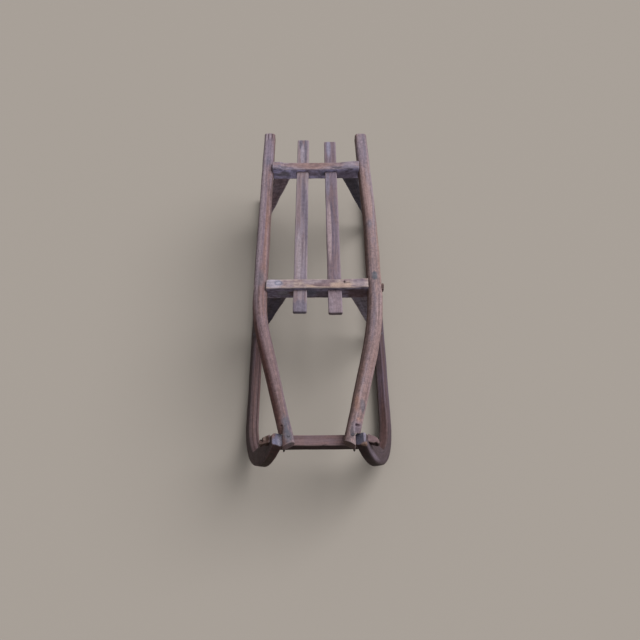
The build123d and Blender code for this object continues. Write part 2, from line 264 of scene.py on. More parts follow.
class Tree:
    """Node tree of a material, a world or a geometry modifier, filled node by node."""

    def __init__(self, nodes: bpy.types.NodeTree) -> None:
        """Wrap a tree and empty it.

        Args:
            nodes: Tree to fill.
        """
        self.nodes = nodes.nodes
        self.links = nodes.links
        self.nodes.clear()

    def node(
        self, kind: str, settings: dict[str, Any], inputs: dict[int | str, Any], output: int | str = 0
    ) -> Field | None:
        """Add a node, set it up, and fill its sockets.

        Args:
            kind: Blender's type of the node.
            settings: Properties that are set before the sockets are filled.
            inputs: Values or fields by socket name or number.
            output: Socket name or number of the result.

        Returns:
            The chosen output, or nothing for a node that ends the tree.
        """
        made = self.nodes.new(kind)
        for name, value in settings.items():
            setattr(made, name, value)
        for key, value in inputs.items():
            if isinstance(value, Field):
                self.links.new(value.socket, made.inputs[key])
            else:
                made.inputs[key].default_value = value
        return Field(self, made.outputs[output]) if made.outputs else None

    def vector(self, operation: str, *operands: Field | Triple) -> Field:
        """Add a Vector Math node and return its vector, or the number of a dot product or length."""
        output = "Value" if operation in ("DOT_PRODUCT", "LENGTH") else "Vector"
        return self.node("ShaderNodeVectorMath", {"operation": operation}, dict(enumerate(operands)), output)

    def noise(self, place: Field, per_metre: Triple, seed: float, detail: float = 2.0) -> Field:
        """Noise around one half, stretched by its own number of waves per metre along each axis.

        Args:
            place: Point that the noise is read at.
            per_metre: Waves per metre along the point's three axes.
            seed: Shift that makes this noise unlike the others.
            detail: Octaves.

        Returns:
            A value mostly between 0.25 and 0.75.
        """
        shift = tuple(seed * step for step in SEED_SHIFT)
        stretched = self.vector("MULTIPLY_ADD", place, per_metre, shift)
        inputs = {"Vector": stretched, "Scale": 1.0, "Detail": detail, "Roughness": NOISE_ROUGHNESS}
        return self.node("ShaderNodeTexNoise", {}, inputs)

    def blend(self, factor: Field, first: Field | tuple, second: Field | tuple) -> Field:
        """Mix two colours, where the factor is the share of the second."""
        inputs = {MIX_FACTOR: factor, MIX_FIRST: first, MIX_SECOND: second}
        return self.node("ShaderNodeMix", {"data_type": "RGBA"}, inputs, MIX_RESULT)

    def shade(self, colour: Field | tuple, factor: Field) -> Field:
        """Multiply a colour by a number.

        Args:
            colour: Colour to shade.
            factor: Number that all three channels are multiplied by.

        Returns:
            The shaded colour.
        """
        grey = self.node("ShaderNodeCombineXYZ", {}, {0: factor, 1: factor, 2: factor})
        settings = {"data_type": "RGBA", "blend_type": "MULTIPLY"}
        inputs = {MIX_FACTOR: 1.0, MIX_FIRST: colour, MIX_SECOND: grey}
        return self.node("ShaderNodeMix", settings, inputs, MIX_RESULT)

    def checks(self, grain: Field, seed: float, width: float) -> Field:
        """Long drying cracks that follow the grain here and there.

        Args:
            grain: Point across, along and through the grain.
            seed: Shift of the pattern.
            width: Half width of a crack as a step of the noise.

        Returns:
            1 in the middle of a crack and 0 outside it.
        """
        lines = self.noise(grain, CHECK_WAVES, seed)
        where = self.noise(grain, CHECK_PATCHES, seed + Layer.CHECKED).ramp(*CHECKED_PARTS)
        return abs(lines - NOISE_MIDDLE).ramp(width, 0.0) * where

    def near(self, place: Field, spot: Triple, reach: Triple, fray: Field) -> Field:
        """Frayed distance from a spot that is given in millimetres, 1 at its reach."""
        offset = self.vector("SUBTRACT", place, metres(spot))
        return self.vector("LENGTH", self.vector("DIVIDE", offset, metres(reach))) + fray

    def surface(self, inputs: dict[str, Any], depth: float, height: Field) -> None:
        """End a material's tree with its shader.

        Args:
            inputs: Values or fields of the shader's sockets.
            depth: Depth of the fine relief.
            height: Height of the fine relief, from 0 to 1.
        """
        bump = {"Strength": BUMP_STRENGTH, "Distance": depth, "Height": height}
        normal = self.node("ShaderNodeBump", {}, bump)
        shader = self.node("ShaderNodeBsdfPrincipled", {}, {**inputs, "Normal": normal})
        self.node("ShaderNodeOutputMaterial", {}, {"Surface": shader})


class Lie(Enum):
    """Coordinates in which a stain lies."""

    SLED = "position"
    GRAIN = "grain"


@dataclass(frozen=True)
class Stain:
    """Patch of another colour on one place of a bar, in millimetres."""

    place: Triple
    reach: Triple
    colour: Colour
    strength: float = 0.8
    softness: float = 0.45
    ragged: float = 0.5
    lie: Lie = Lie.SLED


@dataclass(frozen=True)
class Streak(Stain):
    """Stain whose place and reach are measured across, along and through the grain."""

    lie: Lie = Lie.GRAIN


@dataclass(frozen=True)
class Figure:
    """Pattern of the wood: its streaks and bands along the grain and its mottling."""

    streak: Triple
    band: Triple
    contrast: float
    mottle: float
    cloud: Triple = MOTTLE_WAVES
    drift: float = 0.0
    fibre: float = 0.2
    speck: float = 0.16


class Patterns(NamedTuple):
    """Tree of one finish, with the places and noises that its steps share."""

    tree: Tree
    place: Field
    grain: Field
    fibre: Field
    streak: Field
    band: Field
    mottle: Field
    patch: Field
    speck: Field


@dataclass(frozen=True)
class Wood:
    """Finish of weathered wood: its tones, its figure, its stains, and the dirt and painted shade on its
    sides away from the light.
    """

    name: str
    figure: Figure
    seed: float
    pale: Colour
    deep: Colour
    red: Colour
    grey: Colour
    edge: Colour
    # Colour of the dirt and the painted shade on the sides that face away from the light
    dirt_and_shade: Colour
    end: Colour = (96, 84, 88)
    crack: Colour = (40, 30, 29)
    dirt_share: float = 0.8
    # Roughly towards the light; sides that face away from it take dirt and painted shade
    lit_clean_side: Triple = (0.30, 0.22, 0.93)
    red_share: float = 0.5
    grey_share: float = 0.5
    edge_share: float = 0.6
    stains: tuple[Stain, ...] = ()

    def material(self) -> bpy.types.Material:
        """Build the material.

        Returns:
            A new material with this finish.
        """
        made = bpy.data.materials.new(self.name)
        made.use_nodes = True
        tree = Tree(made.node_tree)
        seen = self.patterns(tree)
        fine = tree.checks(seen.grain, self.seed, FINE_CRACK)
        colour = self.dirtied(seen, self.tones(seen))
        colour = self.stained(seen, self.worn(seen, colour))
        colour = tree.shade(colour, self.shadow(seen))
        inputs = {
            "Base Color": tree.blend(fine * FINE_CRACK_DARK, colour, linear(self.crack)),
            "Roughness": seen.patch.ramp(*ROUGHNESS) + ROUGHNESS_BASE,
            "Specular IOR Level": SPECULAR,
        }
        relief = seen.fibre * BUMP_FIBRE + seen.streak * BUMP_STREAK - fine * BUMP_CRACK
        tree.surface(inputs, BUMP_DEPTH, relief + seen.speck * BUMP_SPECK)
        return made

    def patterns(self, tree: Tree) -> Patterns:
        """Read the coordinates, let the grain wander sideways, and add the noises.

        Args:
            tree: Tree of the material.

        Returns:
            What the steps of this finish share.
        """
        figure, seed = self.figure, self.seed
        place = tree.node("ShaderNodeTexCoord", {}, {}, "Object")
        straight = tree.node("ShaderNodeAttribute", {"attribute_name": GRAIN}, {}, "Vector")
        drift = tree.noise(straight, DRIFT_WAVES, seed + Layer.DRIFT, detail=1.0) - NOISE_MIDDLE
        drift = drift * (DRIFT_SWING * figure.drift)
        grain = tree.vector("ADD", straight, tree.node("ShaderNodeCombineXYZ", {}, {0: drift, 2: drift}))
        return Patterns(
            tree=tree,
            place=place,
            grain=grain,
            fibre=tree.noise(grain, FIBRE_WAVES, seed + Layer.FIBRE, detail=3.0),
            streak=tree.noise(grain, figure.streak, seed + Layer.STREAK, detail=3.0),
            band=tree.noise(grain, figure.band, seed + Layer.BAND),
            mottle=tree.noise(place, figure.cloud, seed + Layer.MOTTLE, detail=4.0),
            patch=tree.noise(place, PATCH_WAVES, seed + Layer.PATCH, detail=3.0),
            speck=tree.noise(place, SPECK_WAVES, seed + Layer.SPECK),
        )

    def tones(self, seen: Patterns) -> Field:
        """Mix the wood's own tones along its grain.

        Args:
            seen: What the steps of this finish share.

        Returns:
            The colour of the sound wood.
        """
        tree, figure = seen.tree, self.figure
        share = seen.streak * (1.0 - figure.mottle) + seen.mottle * figure.mottle
        share = share.ramp(NOISE_MIDDLE - figure.contrast, NOISE_MIDDLE + figure.contrast)
        colour = tree.blend(share, linear(self.deep), linear(self.pale))
        red = (seen.band * (1.0 - RED_MOTTLE) + seen.mottle * RED_MOTTLE).ramp(*RED_BAND)
        colour = tree.blend(red * self.red_share, colour, linear(self.red))
        grey = (seen.patch * GREY_SPOT + seen.band * GREY_BAND + GREY_BASE).ramp(*GREY_PATCH)
        return tree.blend(grey * self.grey_share, colour, linear(self.grey))

    def dirtied(self, seen: Patterns, colour: Field) -> Field:
        """Paint dirt and painted shade on the sides that face away from the light, which are neither rubbed
        nor bleached.

        Args:
            seen: What the steps of this finish share.
            colour: Colour of the rubbed wood.

        Returns:
            The colour with dirt and painted shade on those sides.
        """
        tree = seen.tree
        # Dirt and painted shade on the sides that face away from the light
        dirt_and_shade = tree.shade(linear(self.dirt_and_shade), seen.mottle.ramp(*DIRT_AND_SHADE_MOTTLE) + DIRT_AND_SHADE_BASE)
        normal = tree.node("ShaderNodeNewGeometry", {}, {}, "Normal")
        lit_clean = tree.vector("DOT_PRODUCT", normal, self.lit_clean_side)
        lit_clean = lit_clean + (seen.patch - NOISE_MIDDLE) * DIRT_AND_SHADE_FRAY
        return tree.blend(lit_clean.ramp(*DIRTY_SHADED_SIDE) * self.dirt_share, colour, dirt_and_shade)

    def worn(self, seen: Patterns, colour: Field) -> Field:
        """Rub the edges, paint shade into the hollows, darken the cracks, and show the end grain.

        Args:
            seen: What the steps of this finish share.
            colour: Colour so far.

        Returns:
            The worn colour.
        """
        tree = seen.tree
        edge, end, crack = (
            tree.node("ShaderNodeAttribute", {"attribute_name": name}, {}, "Fac")
            for name in (EDGE, END_GRAIN, CRACK)
        )
        rubbed = (edge + (seen.patch - NOISE_MIDDLE) * EDGE_FRAY).ramp(*EDGE_RUBBED)
        colour = tree.blend(rubbed * self.edge_share, colour, linear(self.edge))
        # Painted shade in the concave hollows
        colour = tree.shade(colour, 1.0 - edge.ramp(*HOLLOW_PAINTED_SHADE))
        out = tree.vector("LENGTH", tree.vector("MULTIPLY", seen.grain, ACROSS_GRAIN))
        rings = (out * (FULL_TURN / RING_WIDTH) + seen.streak * RING_WOBBLE).math("SINE")
        ringed = tree.blend(rings.ramp(*RING_DARK), linear(self.end), linear(self.crack))
        colour = tree.blend(end.ramp(*END_SHOWN), colour, ringed)
        return tree.blend(crack * DEEP_CRACK_DARK, colour, linear(self.crack))

    def stained(self, seen: Patterns, colour: Field) -> Field:
        """Lay the stains over each other, uneven in tone and frayed at their borders.

        Args:
            seen: What the steps of this finish share.
            colour: Colour so far.

        Returns:
            The stained colour.
        """
        tree = seen.tree
        fray = (seen.streak + seen.mottle) / 2 - NOISE_MIDDLE
        uneven = seen.mottle.ramp(*STAIN_MOTTLE) + seen.streak.ramp(*STAIN_STREAK) + STAIN_BASE
        for stain in self.stains:
            lie = seen.place if stain.lie is Lie.SLED else seen.grain
            distance = tree.near(lie, stain.place, stain.reach, fray * (STAIN_FRAY * stain.ragged))
            amount = distance.ramp(1.0 + stain.softness, 1.0 - stain.softness) * stain.strength
            colour = tree.blend(amount, colour, tree.shade(linear(stain.colour), uneven))
        return colour

    def shadow(self, seen: Patterns) -> Field:
        """Darken between the fibres and in the specks.

        Args:
            seen: What the steps of this finish share.

        Returns:
            The factor that the colour is shaded by.
        """
        fibre, speck = self.figure.fibre, self.figure.speck
        shade = seen.fibre.ramp(*FIBRE_SHOWN) * fibre + (1.0 - FIBRE_BALANCE * fibre)
        return shade * (seen.speck.ramp(*SPECK_SHOWN) * speck + (1.0 - SPECK_BALANCE * speck))


@dataclass(frozen=True)
class Dent:
    """Bite, chip or split that is pressed into a bar's surface, in millimetres."""

    place: Triple
    reach: Triple
    depth: float
    ragged: float


@dataclass(frozen=True)
class Wear:
    """How a bar's surface is worked: evenly remeshed, rounded, hewn, ridged, cracked and chipped."""

    voxel: float
    rounding: int
    hewing: float = 0.0008
    ridges: float = 0.0003
    checks: float = 0.0006
    waves: Triple = (22.0, 8.0, 22.0)
    dents: tuple[Dent, ...] = ()


@dataclass
class Bar:
    """One wooden piece, made from its CAD node."""

    node: str
    slot: str
    wood: Wood
    wear: Wear

    def build(self) -> bpy.types.Object:
        """Returns:
            The finished piece.
        """
        piece = self.copy()
        self.remesh(piece)
        self.set_grain(piece)
        self.weather(piece)
        piece.data.materials.clear()
        piece.data.materials.append(self.wood.material())
        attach(piece, BODY)
        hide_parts(self.node)
        log.info("%s: %d faces", piece.name, len(piece.data.polygons))
        return piece

    def copy(self) -> bpy.types.Object:
        """Copy the CAD node with a mesh of its own and merge its loose triangles.

        Returns:
            The copy, alone selected and active.
        """
        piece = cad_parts[self.node].copy()
        piece.data = piece.data.copy()
        piece.name = f"{self.node}_worn"
        piece.data.name = piece.name
        bpy.context.scene.collection.objects.link(piece)
        select_only(piece)
        bpy.ops.object.mode_set(mode="EDIT")
        bpy.ops.mesh.select_all(action="SELECT")
        bpy.ops.mesh.remove_doubles(threshold=MERGE_DISTANCE)
        bpy.ops.object.mode_set(mode="OBJECT")
        return piece

    def remesh(self, piece: bpy.types.Object) -> None:
        """Give the piece an even mesh, round its arrises a little and reshape it.

        Args:
            piece: Piece to remesh.
        """
        even = piece.modifiers.new("even", "REMESH")
        even.mode = "VOXEL"
        even.voxel_size = self.wear.voxel
        even.use_smooth_shade = True
        rounded = piece.modifiers.new("rounded", "SMOOTH")
        rounded.factor = SMOOTHING
        rounded.iterations = self.wear.rounding
        for name in ("even", "rounded"):
            bpy.ops.object.modifier_apply(modifier=name)
        points = read_vectors(piece.data.vertices, "co")
        self.reshape(points)
        piece.data.vertices.foreach_set("co", points.ravel())
        piece.data.update()

    def reshape(self, points: np.ndarray) -> None:
        """Move the remeshed points in place; a plain bar leaves them as they are."""

    def set_grain(self, piece: bpy.types.Object) -> None:
        """Store the grain's own coordinates and where the surface cuts across it.

        Args:
            piece: Piece whose vertices are marked.
        """
        mesh = piece.data
        normals = read_vectors(mesh.vertex_normals, "vector")
        coordinates, along = self.grain(read_vectors(mesh.vertices, "co"))
        across = np.abs(np.einsum("ij,ij->i", along, normals))
        mesh.attributes.new(GRAIN, "FLOAT_VECTOR", "POINT").data.foreach_set("vector", coordinates.ravel())
        mesh.attributes.new(END_GRAIN, "FLOAT", "POINT").data.foreach_set("value", across)

    def grain(self, points: np.ndarray) -> tuple[np.ndarray, np.ndarray]:
        """Measure points across, along and through a straight bar's grain.

        Args:
            points: Vertex positions.

        Returns:
            The grain coordinates and the grain's direction at each point.
        """
        middle = points.mean(axis=0)
        axes = np.linalg.svd(points - middle, full_matrices=False)[2]
        along = axes[0] * np.sign(axes[0][np.argmax(np.abs(axes[0]))])
        helper = np.array([0.0, 1.0, 0.0] if abs(along[2]) > UPRIGHT else UPWARDS)
        across = np.cross(along, helper)
        across /= np.linalg.norm(across)
        through = np.cross(across, along)
        coordinates = (points - middle) @ np.stack([across, along, through], axis=1)
        return coordinates, np.broadcast_to(along, points.shape)

    def weather(self, piece: bpy.types.Object) -> None:
        """Hew, ridge and crack the surface, and store its edges and cracks for the finish.

        Args:
            piece: Piece to work.
        """
        group = bpy.data.node_groups.new(f"{piece.name}_surface", "GeometryNodeTree")
        group.interface.new_socket("Geometry", in_out="INPUT", socket_type="NodeSocketGeometry")
        group.interface.new_socket("Geometry", in_out="OUTPUT", socket_type="NodeSocketGeometry")
        tree = Tree(group)
        geometry = tree.node("NodeGroupInput", {}, {})
        place = tree.node("GeometryNodeInputPosition", {}, {})
        normal = tree.node("GeometryNodeInputNormal", {}, {})
        vectors = {"data_type": "FLOAT_VECTOR"}
        grain = tree.node("GeometryNodeInputNamedAttribute", vectors, {0: GRAIN})
        blurred = tree.node("GeometryNodeBlurAttribute", vectors, {0: place, "Iterations": EDGE_BLUR})
        proud = tree.vector("DOT_PRODUCT", normal, tree.vector("SUBTRACT", place, blurred))
        edge = proud / (self.wear.voxel * EDGE_PROUD)
        crack = tree.checks(grain, self.wood.seed, DEEP_CRACK)
        height = self.relief(tree, place, grain) - crack * self.wear.checks
        offset = tree.node("ShaderNodeVectorMath", {"operation": "SCALE"}, {0: normal, "Scale": height})
        for name, value in ((EDGE, edge), (CRACK, crack)):
            inputs = {"Geometry": geometry, "Name": name, "Value": value}
            geometry = tree.node("GeometryNodeStoreNamedAttribute", {"data_type": "FLOAT"}, inputs)
        moved = tree.node("GeometryNodeSetPosition", {}, {"Geometry": geometry, "Offset": offset})
        tree.node("NodeGroupOutput", {}, {0: moved})
        surface = piece.modifiers.new("surface", "NODES")
        surface.node_group = group
        select_only(piece)
        bpy.ops.object.modifier_apply(modifier="surface")
        bpy.data.node_groups.remove(group)

    def relief(self, tree: Tree, place: Field, grain: Field) -> Field:
        """Measure how far the worked surface stands out.

        Args:
            tree: Tree of the modifier.
            place: Point on the object.
            grain: Point across, along and through the grain.

        Returns:
            The height along the normal.
        """
        wear, seed = self.wear, self.wood.seed
        hewn = tree.noise(grain, wear.waves, seed + Layer.HEWN) - NOISE_MIDDLE
        ridged = tree.noise(grain, RIDGE_WAVES, seed + Layer.STREAK, detail=3.0) - NOISE_MIDDLE
        height = hewn * (NOISE_TO_ONE * wear.hewing) + ridged * (NOISE_TO_ONE * wear.ridges)
        rough = tree.noise(place, MOTTLE_WAVES, seed + Layer.ROUGH) - NOISE_MIDDLE
        for dent in wear.dents:
            distance = tree.near(place, dent.place, dent.reach, rough * (STAIN_FRAY * dent.ragged))
            height = height - distance.ramp(*DENT_RIM) * (dent.depth / MILLIMETRES)
        return height


@dataclass
class Runner(Bar):
    """Runner whose grain follows its curl, and whose upturned end is left thick behind."""

    side: Side = Side.RIGHT
    splay: float = 21.4
    depth: float = 0.033
    curl_radius: float = 0.170
    inner_radius: float = 0.1426
    tip_rise: float = 0.2403
    knee_turn: float = 50.0

    def reshape(self, points: np.ndarray) -> None:
        """Fill the hollow of the curl up to a straight back, between its knee and its tip.

        Args:
            points: Vertex positions, moved in place.
        """
        behind, above = self.about_centre(points)[1:]
        inner_centre = self.depth + self.inner_radius - self.curl_radius
        low = inner_centre - self.inner_radius * math.cos(math.radians(self.knee_turn))
        high = self.tip_rise - self.curl_radius
        height = np.clip(above, low, high)
        hollow = -np.sqrt(self.inner_radius**2 - (height - inner_centre) ** 2)
        front = -np.sqrt(self.curl_radius**2 - height**2)
        ends = [-math.sqrt(self.inner_radius**2 - (end - inner_centre) ** 2) for end in (low, high)]
        back = np.interp(height, (low, high), ends)
        moved = (behind - front) * ((back - front) / (hollow - front) - 1.0)
        inside = (behind < 0) & (above > low) & (above < high + self.wear.voxel)
        points[:, 1] += np.where(inside, moved, 0.0)

    def about_centre(self, points: np.ndarray) -> tuple[np.ndarray, np.ndarray, np.ndarray]:
        """Measure points in the runner's own leaning plane, from the centre of its curl.

        Args:
            points: Vertex positions.

        Returns:
            Distances across the width, behind the centre and above it.
        """
        lean = math.radians(self.splay)
        outward = points[:, 0] * self.side.value
        across = outward * math.cos(lean) + points[:, 2] * math.sin(lean)
        up = points[:, 2] * math.cos(lean) - outward * math.sin(lean)
        across = across - (across.min() + across.max()) / 2
        behind = points[:, 1] - (points[:, 1].min() + self.curl_radius)
        return across, behind, up - up.min() - self.curl_radius

    def grain(self, points: np.ndarray) -> tuple[np.ndarray, np.ndarray]:
        """Measure points across the width, along the bend and through the depth.

        Args:
            points: Vertex positions.

        Returns:
            The grain coordinates and the grain's direction at each point.
        """
        lean = math.radians(self.splay)
        across, behind, above = self.about_centre(points)
        turn = np.where(behind < 0, np.arctan2(-behind, -above), 0.0)
        along = np.where(behind < 0, -self.curl_radius * turn, behind)
        depth = np.where(behind < 0, self.curl_radius - np.hypot(behind, above), above + self.curl_radius)
        rise = np.sin(turn)
        sideways = -rise * math.sin(lean) * self.side.value
        direction = np.stack([sideways, -np.cos(turn), rise * math.cos(lean)], axis=1)
        return np.stack([across, along, depth], axis=1), direction


@dataclass
class Crossbar(Bar):
    """Bar between the runners' tips, whose ends stand out of the runners at a slant."""

    root: float = 0.112
    reach: float = 0.137
    root_shift: float = 0.003
    back_shift: float = -0.009
    front_shift: float = -0.006

    def reshape(self, points: np.ndarray) -> None:
        """Slant the two ends forwards.

        Args:
            points: Vertex positions, moved in place.
        """
        outward = np.abs(points[:, 0])
        ends = outward > self.root
        low, high = points[ends, 1].min(), points[ends, 1].max()
        share = np.clip((outward - self.root) / (self.reach - self.root), 0.0, 1.0)
        back = self.root_shift + (self.back_shift - self.root_shift) * share
        depth = np.clip((points[:, 1] - low) / (high - low), 0.0, 1.0)
        points[:, 1] += np.where(ends, depth * back + (1.0 - depth) * self.front_shift * share, 0.0)


@dataclass
class Beam(Bar):
    """Cross beam whose shoulders sit close against the poles, with a right tenon that may stand proud."""

    seat: float = 0.0015
    proud: float = 0.0
    stations: tuple[float, ...] = (0.112, 0.125, 0.132, 0.150, 0.166)

    def reshape(self, points: np.ndarray) -> None:
        """Draw the shoulders and the right tenon outwards.

        Args:
            points: Vertex positions, moved in place.
        """
        outward = np.abs(points[:, 0])
        left = np.interp(outward, self.stations, (0.0, self.seat, self.seat, 0.0, 0.0))
        right = np.interp(outward, self.stations, (0.0, self.seat, self.seat, 0.0, self.proud))
        points[:, 0] += np.where(points[:, 0] > 0, right, -left)


class Round(NamedTuple):
    """Round section of a pole in millimetres: its centre and radius."""

    centre: Triple
    radius: float


@dataclass
class SidePole(Bar):
    """Side pole, whose grain follows its bend and whose cheek stands close behind the runner's tip."""

    slices: int = 60
    sides: int = 32
    cheek: tuple[Round, ...] = ()

    def copy(self) -> bpy.types.Object:
        """Copy the CAD node and fill its sloped shoulder up to the runner's tip.

        Returns:
            The copy, alone selected and active.
        """
        piece = super().copy()
        for front, back in zip(self.cheek, self.cheek[1:]):
            start, end = Vector(metres(front.centre)), Vector(metres(back.centre))
            axis = end - start
            bpy.ops.mesh.primitive_cone_add(
                vertices=self.sides,
                radius1=front.radius / MILLIMETRES,
                radius2=back.radius / MILLIMETRES,
                depth=axis.length,
                location=(start + end) / 2,
                rotation=axis.to_track_quat("Z", "Y").to_euler(),
            )
            part = bpy.context.object
            select_only(piece)
            part.select_set(True)
            bpy.ops.object.join()
        return piece

    def grain(self, points: np.ndarray) -> tuple[np.ndarray, np.ndarray]:
        """Measure points round, along and out from the pole's own middle line.

        Args:
            points: Vertex positions.

        Returns:
            The grain coordinates and the grain's direction at each point.
        """
        along = points[:, 1]
        borders = np.linspace(along.min(), along.max(), self.slices + 1)
        middles = (borders[1:] + borders[:-1]) / 2
        ring = np.clip(np.digitize(along, borders) - 1, 0, self.slices - 1)
        rings = [points[ring == index] for index in range(self.slices)]
        line = np.array([(part.min(axis=0) + part.max(axis=0)) / 2 for part in rings])
        x = np.interp(along, middles, line[:, 0])
        z = np.interp(along, middles, line[:, 2])
        slope = np.interp(along, middles, np.gradient(line[:, 0], middles))
        direction = np.stack([slope, np.ones_like(slope), np.zeros_like(slope)], axis=1)
        direction /= np.linalg.norm(direction, axis=1, keepdims=True)
        return np.stack([points[:, 0] - x, along, points[:, 2] - z], axis=1), direction


def read_vectors(source: bpy.types.bpy_prop_collection, name: str) -> np.ndarray:
    """Read a vector of every vertex or normal.

    Args:
        source: Collection to read.
        name: Name of the vector.

    Returns:
        One row per item.
    """
    values = np.empty(len(source) * 3)
    source.foreach_get(name, values)
    return values.reshape(-1, 3)


def select_only(piece: bpy.types.Object) -> None:
    """Leave one object selected and active.

    Args:
        piece: Object to select.
    """
    bpy.ops.object.select_all(action="DESELECT")
    piece.select_set(True)
    bpy.context.view_layer.objects.active = piece


@dataclass(frozen=True)
class Iron:
    """Finish of old rusted iron, rubbed bright where it faces up."""

    name: str = "old_iron"
    dark: Colour = (40, 34, 35)
    rust: Colour = (66, 52, 50)
    rubbed: Colour = (84, 80, 90)
    rust_waves: Triple = (260.0, 260.0, 260.0)
    pit_waves: Triple = (900.0, 900.0, 900.0)
    rust_seed: float = 2.0
    pit_seed: float = 5.0
    rusted: Step = (0.42, 0.62)
    facing_up: Step = (0.6, 0.9)
    rubbed_share: float = 0.95
    metallic: float = 0.35
    roughness: float = 0.5
    rust_effect: float = 0.3
    pit_depth: float = 0.0006

    def material(self) -> bpy.types.Material:
        """Build the material.

        Returns:
            A new material with this finish.
        """
        made = bpy.data.materials.new(self.name)
        made.use_nodes = True
        tree = Tree(made.node_tree)
        place = tree.node("ShaderNodeTexCoord", {}, {}, "Object")
        rust = tree.noise(place, self.rust_waves, self.rust_seed, detail=4.0).ramp(*self.rusted)
        normal = tree.node("ShaderNodeNewGeometry", {}, {}, "Normal")
        head = tree.vector("DOT_PRODUCT", normal, UPWARDS).ramp(*self.facing_up)
        head = head * (self.rubbed_share - rust * self.rust_effect)
        colour = tree.blend(rust, linear(self.dark), linear(self.rust))
        inputs = {
            "Base Color": tree.blend(head, colour, linear(self.rubbed)),
            "Roughness": rust * self.rust_effect + self.roughness,
            "Metallic": self.metallic - rust * self.rust_effect,
        }
        tree.surface(inputs, self.pit_depth, tree.noise(place, self.pit_waves, self.pit_seed))
        return made


@dataclass
class Studio:
    """Plain pale floor, soft light and the camera."""

    floor_colour: Colour = (164, 156, 148)
    floor_size: float = 14.0
    floor_roughness: float = 0.9
    floor_specular: float = 0.1
    sky_dark: float = 0.10
    sky_bright: float = 0.60
    sky_towards: Triple = (0.56, 0.36, 0.75)
    sky_brightens: Step = (-0.5, 0.9)
    sun: float = 2.45
    sun_softness: float = 48.0
    sun_tilt: float = 42.0
    sun_turn: float = 116.0
    camera_place: Triple = (-0.003, -1.0505, 1.537)
    camera_dip: float = 55.85
    camera_turn: float = -0.52
    lens: float = 35.0

    def build(self) -> None:
        """Make the floor, the light and the camera."""
        self.lay_floor()
        self.light()
        self.aim_camera()

    def lay_floor(self) -> None:
        bpy.ops.mesh.primitive_plane_add(size=self.floor_size, location=(0.0, 0.0, 0.0))
        floor = bpy.context.object
        floor.name = "floor"
        made = bpy.data.materials.new("floor")
        made.use_nodes = True
        shader = made.node_tree.nodes["Principled BSDF"]
        shader.inputs["Base Color"].default_value = linear(self.floor_colour)
        shader.inputs["Roughness"].default_value = self.floor_roughness
        shader.inputs["Specular IOR Level"].default_value = self.floor_specular
        floor.data.materials.append(made)

    def light(self) -> None:
        """Light the sled softly from above, more from the right and the rear."""
        world = bpy.data.worlds.new("sky")
        bpy.context.scene.world = world
        world.use_nodes = True
        tree = Tree(world.node_tree)
        direction = tree.node("ShaderNodeTexCoord", {}, {}, "Generated")
        bright = tree.vector("DOT_PRODUCT", direction, self.sky_towards).ramp(*self.sky_brightens)
        dark, full = ((level, level, level, 1.0) for level in (self.sky_dark, self.sky_bright))
        shader = tree.node("ShaderNodeBackground", {}, {"Color": tree.blend(bright, dark, full)})
        tree.node("ShaderNodeOutputWorld", {}, {"Surface": shader})
        lamp = bpy.data.lights.new("window", "SUN")
        lamp.energy = self.sun
        lamp.angle = math.radians(self.sun_softness)
        self.place(lamp, (math.radians(self.sun_tilt), 0.0, math.radians(self.sun_turn)))

    def aim_camera(self) -> None:
        """Set the camera where the photograph was taken from."""
        lens = bpy.data.cameras.new("camera")
        lens.lens = self.lens
        camera = self.place(lens, (math.radians(90.0 - self.camera_dip), 0.0, math.radians(self.camera_turn)))
        camera.location = self.camera_place
        bpy.context.scene.camera = camera
        bpy.context.scene.view_settings.view_transform = "Standard"

    def place(self, data: bpy.types.Light | bpy.types.Camera, turn: Triple) -> bpy.types.Object:
        """Put a lamp or a camera into the scene.

        Args:
            data: Lamp or camera.
            turn: Its rotation in radians.

        Returns:
            The object that holds it.
        """
        holder = bpy.data.objects.new(data.name, data)
        holder.rotation_euler = turn
        bpy.context.scene.collection.objects.link(holder)
        return holder


PEELED = Figure((150.0, 4.0, 150.0), (50.0, 2.0, 50.0), contrast=0.1, mottle=0.34, fibre=0.22, speck=0.3)
SAWN = Figure((130.0, 3.2, 130.0), (70.0, 2.2, 70.0), contrast=0.13, mottle=0.22, drift=0.022)
BENT = Figure((250.0, 2.0, 250.0), (120.0, 1.2, 120.0), contrast=0.08, mottle=0.15, speck=0.2)
HEWN = Figure(
    (90.0, 9.0, 90.0), (60.0, 8.0, 60.0), contrast=0.11, mottle=0.6, cloud=(66.0, 90.0, 110.0),
    fibre=0.24, speck=0.24,
)

BLUISH = (92, 92, 104)
VIOLET = (128, 118, 138)
ORANGE = (156, 116, 98)
DARK = (52, 38, 36)

